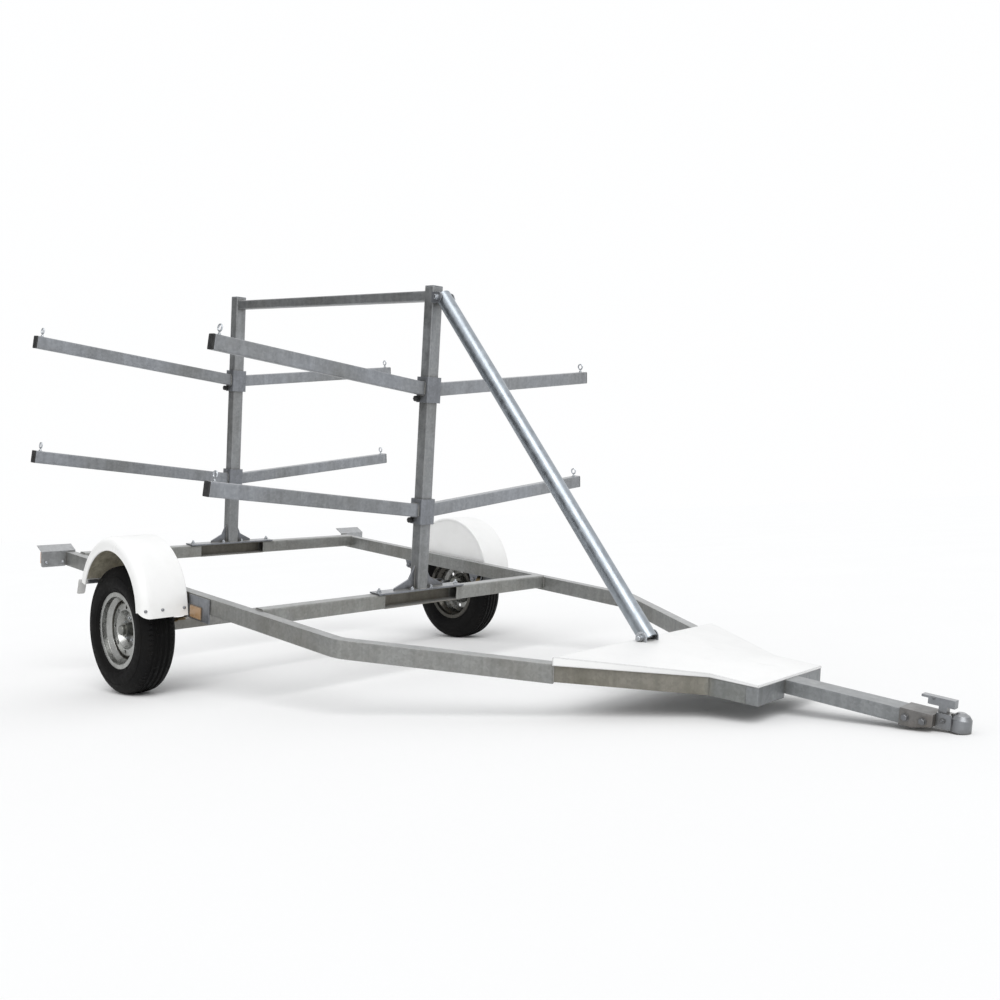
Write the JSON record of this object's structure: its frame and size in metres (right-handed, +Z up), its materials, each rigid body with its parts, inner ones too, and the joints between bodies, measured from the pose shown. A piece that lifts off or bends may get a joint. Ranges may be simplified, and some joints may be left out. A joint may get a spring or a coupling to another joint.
{
  "type": "multi-boat rack trailer",
  "caption": "Towed single-axle rack trailer for canoes and other narrow boats, with uprights, sloping arms, a braced post and a small deck over the drawbar.",
  "frame": {"origin": "on the ground, at the centre of the overall length and width", "axes": "+X to the front, where the coupler is; +Y to the left; +Z up. The trailer rests nose down on its wheels and coupler."},
  "size_m": [4.4904, 2.418, 2.1477],
  "materials": {
    "amber_reflector": "amber lens",
    "black_plastic": "black plastic",
    "bright_zinc": "bright zinc",
    "coupler_zinc": "dull grey zinc",
    "galvanised_rim": "bright galvanised",
    "galvanised_steel": "dull hot-dip galvanised, patchy",
    "hub_steel": "zinc plated",
    "lamp_red": "red lens",
    "plated_brackets": "bluish galvanised",
    "spring_steel": "browned spring steel",
    "tyre_rubber": "black rubber",
    "white_deck": "white coated sheet",
    "white_mudguard": "white moulded plastic"
  },
  "bodies": {
    "frame": {"arm_end_caps": "black_plastic", "axle_beam": "galvanised_steel", "brace": "bright_zinc", "brace_foot_clevis": "plated_brackets", "brace_pins": "bright_zinc", "brace_upper_clevis": "plated_brackets", "collar_knobs": "black_plastic", "collar_packings": "black_plastic", "coupler_head": "coupler_zinc", "coupler_latch": "coupler_zinc", "coupler_shank": "coupler_zinc", "deck_cross_piece": "galvanised_steel", "deck_sheet": "white_deck", "drawbar": "galvanised_steel", "front_centre_channel": "galvanised_steel", "front_collars": "galvanised_steel", "front_cross_member": "galvanised_steel", "front_foot_plate": "plated_brackets", "front_lower_arms": "galvanised_steel", "front_rail_left": "galvanised_steel", "front_rail_right": "galvanised_steel", "front_upper_arms": "galvanised_steel", "front_upright": "galvanised_steel", "guard_side_panels": "galvanised_steel", "guard_stays": "plated_brackets", "lamp_brackets": "plated_brackets", "leaf_springs": "spring_steel", "mudguard_left": "white_mudguard", "mudguard_right": "white_mudguard", "nose_cross_member": "galvanised_steel", "rear_centre_channel": "galvanised_steel", "rear_collars": "galvanised_steel", "rear_cross_member": "galvanised_steel", "rear_foot_plate": "plated_brackets", "rear_lower_arms": "galvanised_steel", "rear_upper_arms": "galvanised_steel", "rear_upright": "galvanised_steel", "side_rail_left": "galvanised_steel", "side_rail_right": "galvanised_steel", "side_reflectors": "amber_reflector", "spring_hangers": "plated_brackets", "spring_pads": "plated_brackets", "tail_lamps": "lamp_red", "tie_down_eyes": "bright_zinc", "top_bar": "galvanised_steel", "u_bolts": "plated_brackets", "upright_caps": "plated_brackets"},
    "wheel_left": {"hub_left": "hub_steel", "rim_left": "galvanised_rim", "tyre_left": "tyre_rubber"},
    "wheel_right": {"hub_right": "hub_steel", "rim_right": "galvanised_rim", "tyre_right": "tyre_rubber"}
  },
  "joints": [
    {"name": "wheel_left_spin", "type": "hinge", "parent": "frame", "child": "wheel_left", "pos_m": [-1.22555, 1.089, 0.305], "axis": [0, 1, 0], "continuous": true},
    {"name": "wheel_right_spin", "type": "hinge", "parent": "frame", "child": "wheel_right", "pos_m": [-1.22555, -1.089, 0.305], "axis": [0, 1, 0], "continuous": true}
  ]
}
